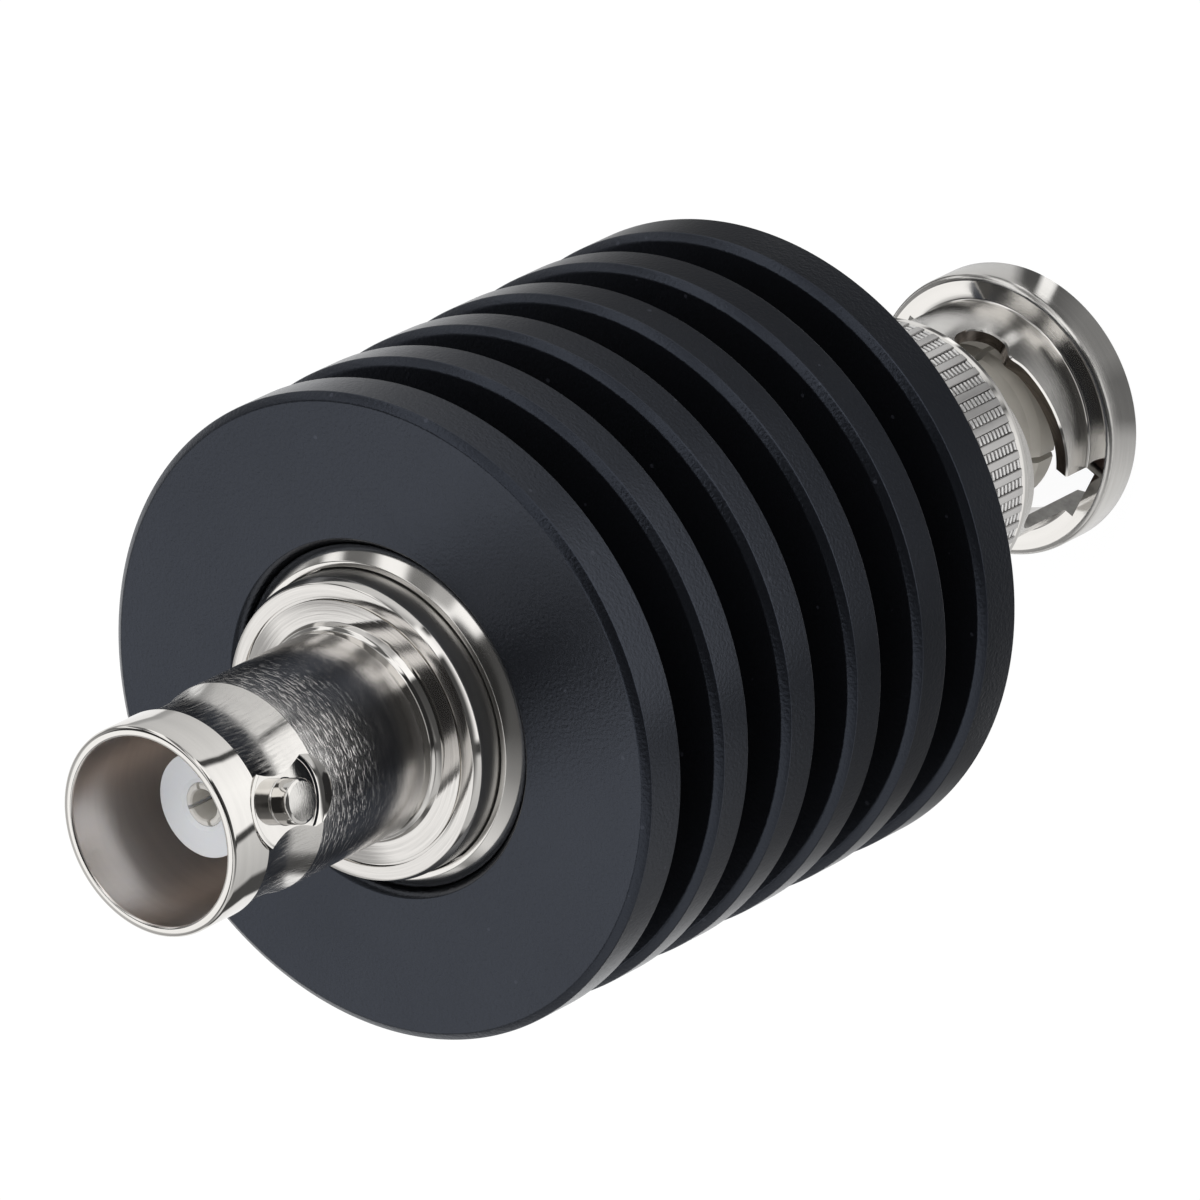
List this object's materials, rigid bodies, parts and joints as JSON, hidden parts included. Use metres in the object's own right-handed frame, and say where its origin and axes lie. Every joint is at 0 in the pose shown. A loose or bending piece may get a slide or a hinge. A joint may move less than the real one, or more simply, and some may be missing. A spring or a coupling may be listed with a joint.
{
  "type": "coaxial attenuator",
  "caption": "Finned coaxial attenuator with a bayonet jack at one end and a bayonet plug with a turning coupling nut at the other.",
  "frame": {"origin": "on the axis, at the mouth of the plug's coupling nut, which the part stands on", "axes": "+Z along the axis from the plug to the jack; the jack's two lugs lie on the X axis"},
  "size_m": [0.03, 0.03, 0.0635],
  "materials": {
    "black_anodised": "black anodised, bead blasted",
    "nickel": "bright nickel plate, partly brushed",
    "white_plastic": "satin",
    "pale_plastic": "satin",
    "gilt_contact": "thin gold plate",
    "spring_bronze": "bare spring bronze",
    "pad_metal": "fired metal film",
    "carrier_brass": "bare machined brass",
    "ceramic": "unglazed ceramic",
    "resistor": "matt film",
    "contact_alloy": "white bronze plate",
    "gasket_rubber": "matt",
    "spring_steel": "bare spring steel"
  },
  "bodies": {
    "body": {"heat_sink": "black_anodised", "housing": "nickel", "jack_body": "nickel", "jack_insulator": "white_plastic", "jack_bead": "pale_plastic", "jack_contact": "gilt_contact", "input_tab": "spring_bronze", "input_pad": "pad_metal", "carrier_base": "carrier_brass", "carrier_cap": "carrier_brass", "chip_substrate": "ceramic", "resistor_film": "resistor", "ground_strips": "pad_metal", "output_pad": "pad_metal", "output_tab": "spring_bronze", "plug_body": "nickel", "plug_bead": "pale_plastic", "plug_insulator": "white_plastic", "plug_pin": "gilt_contact", "outer_contact": "contact_alloy", "gasket": "gasket_rubber", "wave_washer": "spring_steel"},
    "spring_seat": {"flat_washer": "spring_steel"},
    "nut": {"coupling_nut": "nickel"}
  },
  "joints": [
    {"name": "nut_slide", "type": "slide", "parent": "body", "child": "spring_seat", "axis": [0, 0, -1], "range_m": [0, 0.0008], "stiffness_N_per_m": 5000, "springref_m": -0.002, "deforming": ["wave_washer"]},
    {"name": "nut_turn", "type": "hinge", "parent": "spring_seat", "child": "nut", "pos_m": [0, 0, 0.0138], "axis": [0, 0, 1], "continuous": true}
  ]
}
